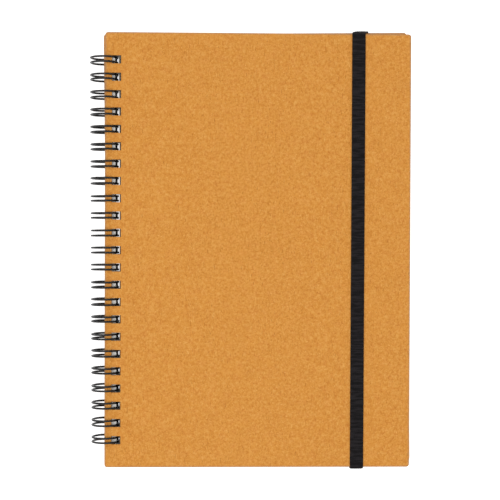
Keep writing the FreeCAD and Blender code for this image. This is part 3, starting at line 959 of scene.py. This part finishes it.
class NOTEBOOK_OT_stage(bpy.types.Operator):
    """Make the floor, the light and the camera"""
    bl_idname = "notebook.stage"
    bl_label = "Stage"

    def execute(self, context):
        settings = context.scene.notebook_stage
        make_floor(settings)
        make_light(context.scene, settings)
        make_camera(context.scene, settings)
        return {"FINISHED"}


def seen_plainly(tree):
    """1 for rays from the camera and for those that gloss or clear things send on, and 0 for others."""
    rays = add(tree, "ShaderNodeLightPath").outputs
    sent_on = calculate(tree, "MAXIMUM", rays["Is Glossy Ray"], rays["Is Transmission Ray"])
    return calculate(tree, "MAXIMUM", rays["Is Camera Ray"], sent_on)


def make_floor(settings):
    """Pale floor. To the camera, gloss and clear things it is lifted towards white, and what the
    object shades stays darker.
    """
    half, level = settings.floor_size / 2, -0.05 * MM
    corners = [(x, y, level) for x, y in ((-half, -half), (half, -half), (half, half), (-half, half))]
    mesh = bpy.data.meshes.new("floor")
    mesh.from_pydata(corners, [], [(0, 1, 2, 3)])
    material, tree, shader = new_material("pale_floor", settings.floor_colour, 1.0, 0.0)
    glow = add(tree, "ShaderNodeEmission", {"Color": (1, 1, 1, 1)})
    lift = remap(tree, seen_plainly(tree), 0, 1, 0, settings.floor_lift)
    tree.links.new(lift, glow.inputs["Strength"])
    both = add(tree, "ShaderNodeAddShader")
    tree.links.new(shader.outputs["BSDF"], both.inputs[0])
    tree.links.new(glow.outputs["Emission"], both.inputs[1])
    tree.links.new(both.outputs["Shader"], tree.nodes["Material Output"].inputs["Surface"])
    mesh.materials.append(material)
    floor = bpy.data.objects.new("floor", mesh)
    bpy.context.scene.collection.objects.link(floor)


def make_light(scene, settings):
    """Even light from all round and one wide soft lamp overhead."""
    world = bpy.data.worlds.new("studio")
    world.use_nodes = True
    tree = world.node_tree
    sky = tree.nodes["Background"]
    sky.inputs["Color"].default_value = (1, 1, 1, 1)
    strength = remap(tree, seen_plainly(tree), 0, 1, settings.sky_strength, 1.0)
    tree.links.new(strength, sky.inputs["Strength"])
    scene.world = world
    lamp = bpy.data.lights.new("soft_lamp", "AREA")
    lamp.shape = "SQUARE"
    lamp.size = settings.lamp_size
    lamp.energy = settings.lamp_power
    holder = bpy.data.objects.new("soft_lamp", lamp)
    holder.location = settings.lamp_place
    towards = -np.array(holder.location)
    holder.rotation_mode = "QUATERNION"
    holder.rotation_quaternion = Vector(towards).to_track_quat("-Z", "Y")
    scene.collection.objects.link(holder)


def make_camera(scene, settings):
    """Camera that looks down on the cover, almost square to it."""
    data = bpy.data.cameras.new("camera")
    data.lens = settings.lens
    camera = bpy.data.objects.new("camera", data)
    camera.location = settings.camera_place
    camera.rotation_euler = settings.camera_turn
    scene.collection.objects.link(camera)
    scene.camera = camera


class NOTEBOOK_PT_panel(bpy.types.Panel):
    """Lists the notebook's pieces and their settings"""
    bl_idname = "NOTEBOOK_PT_panel"
    bl_label = "Wire-bound notebook"
    bl_space_type = "VIEW_3D"
    bl_region_type = "UI"
    bl_category = "Notebook"

    def draw(self, context):
        for operator, group in PIECES:
            box = self.layout.box()
            box.operator(operator.bl_idname)
            settings = getattr(context.scene, group)
            for name in settings.__annotations__:
                box.prop(settings, name)


GROUPS = {
    "notebook_cover": CoverSettings,
    "notebook_leaves": LeafSettings,
    "notebook_wire": WireSettings,
    "notebook_elastic": ElasticSettings,
    "notebook_stage": StageSettings,
}
PIECES = (
    (NOTEBOOK_OT_covers, "notebook_cover"),
    (NOTEBOOK_OT_boards, "notebook_cover"),
    (NOTEBOOK_OT_leaves, "notebook_leaves"),
    (NOTEBOOK_OT_wire, "notebook_wire"),
    (NOTEBOOK_OT_elastic, "notebook_elastic"),
    (NOTEBOOK_OT_stage, "notebook_stage"),
)


def register():
    for group in GROUPS.values():
        bpy.utils.register_class(group)
    for operator, _ in PIECES:
        bpy.utils.register_class(operator)
    bpy.utils.register_class(NOTEBOOK_PT_panel)
    for name, group in GROUPS.items():
        setattr(bpy.types.Scene, name, PointerProperty(type=group))


def unregister():
    for name in GROUPS:
        delattr(bpy.types.Scene, name)
    bpy.utils.unregister_class(NOTEBOOK_PT_panel)
    for operator, _ in reversed(PIECES):
        bpy.utils.unregister_class(operator)
    for group in reversed(GROUPS.values()):
        bpy.utils.unregister_class(group)


def main():
    register()
    bpy.context.scene.view_settings.view_transform = "Standard"
    bpy.ops.notebook.covers()
    bpy.ops.notebook.boards()
    bpy.ops.notebook.leaves()
    bpy.ops.notebook.wire()
    bpy.ops.notebook.elastic()
    bpy.ops.notebook.stage()


if __name__ == "__main__":
    main()
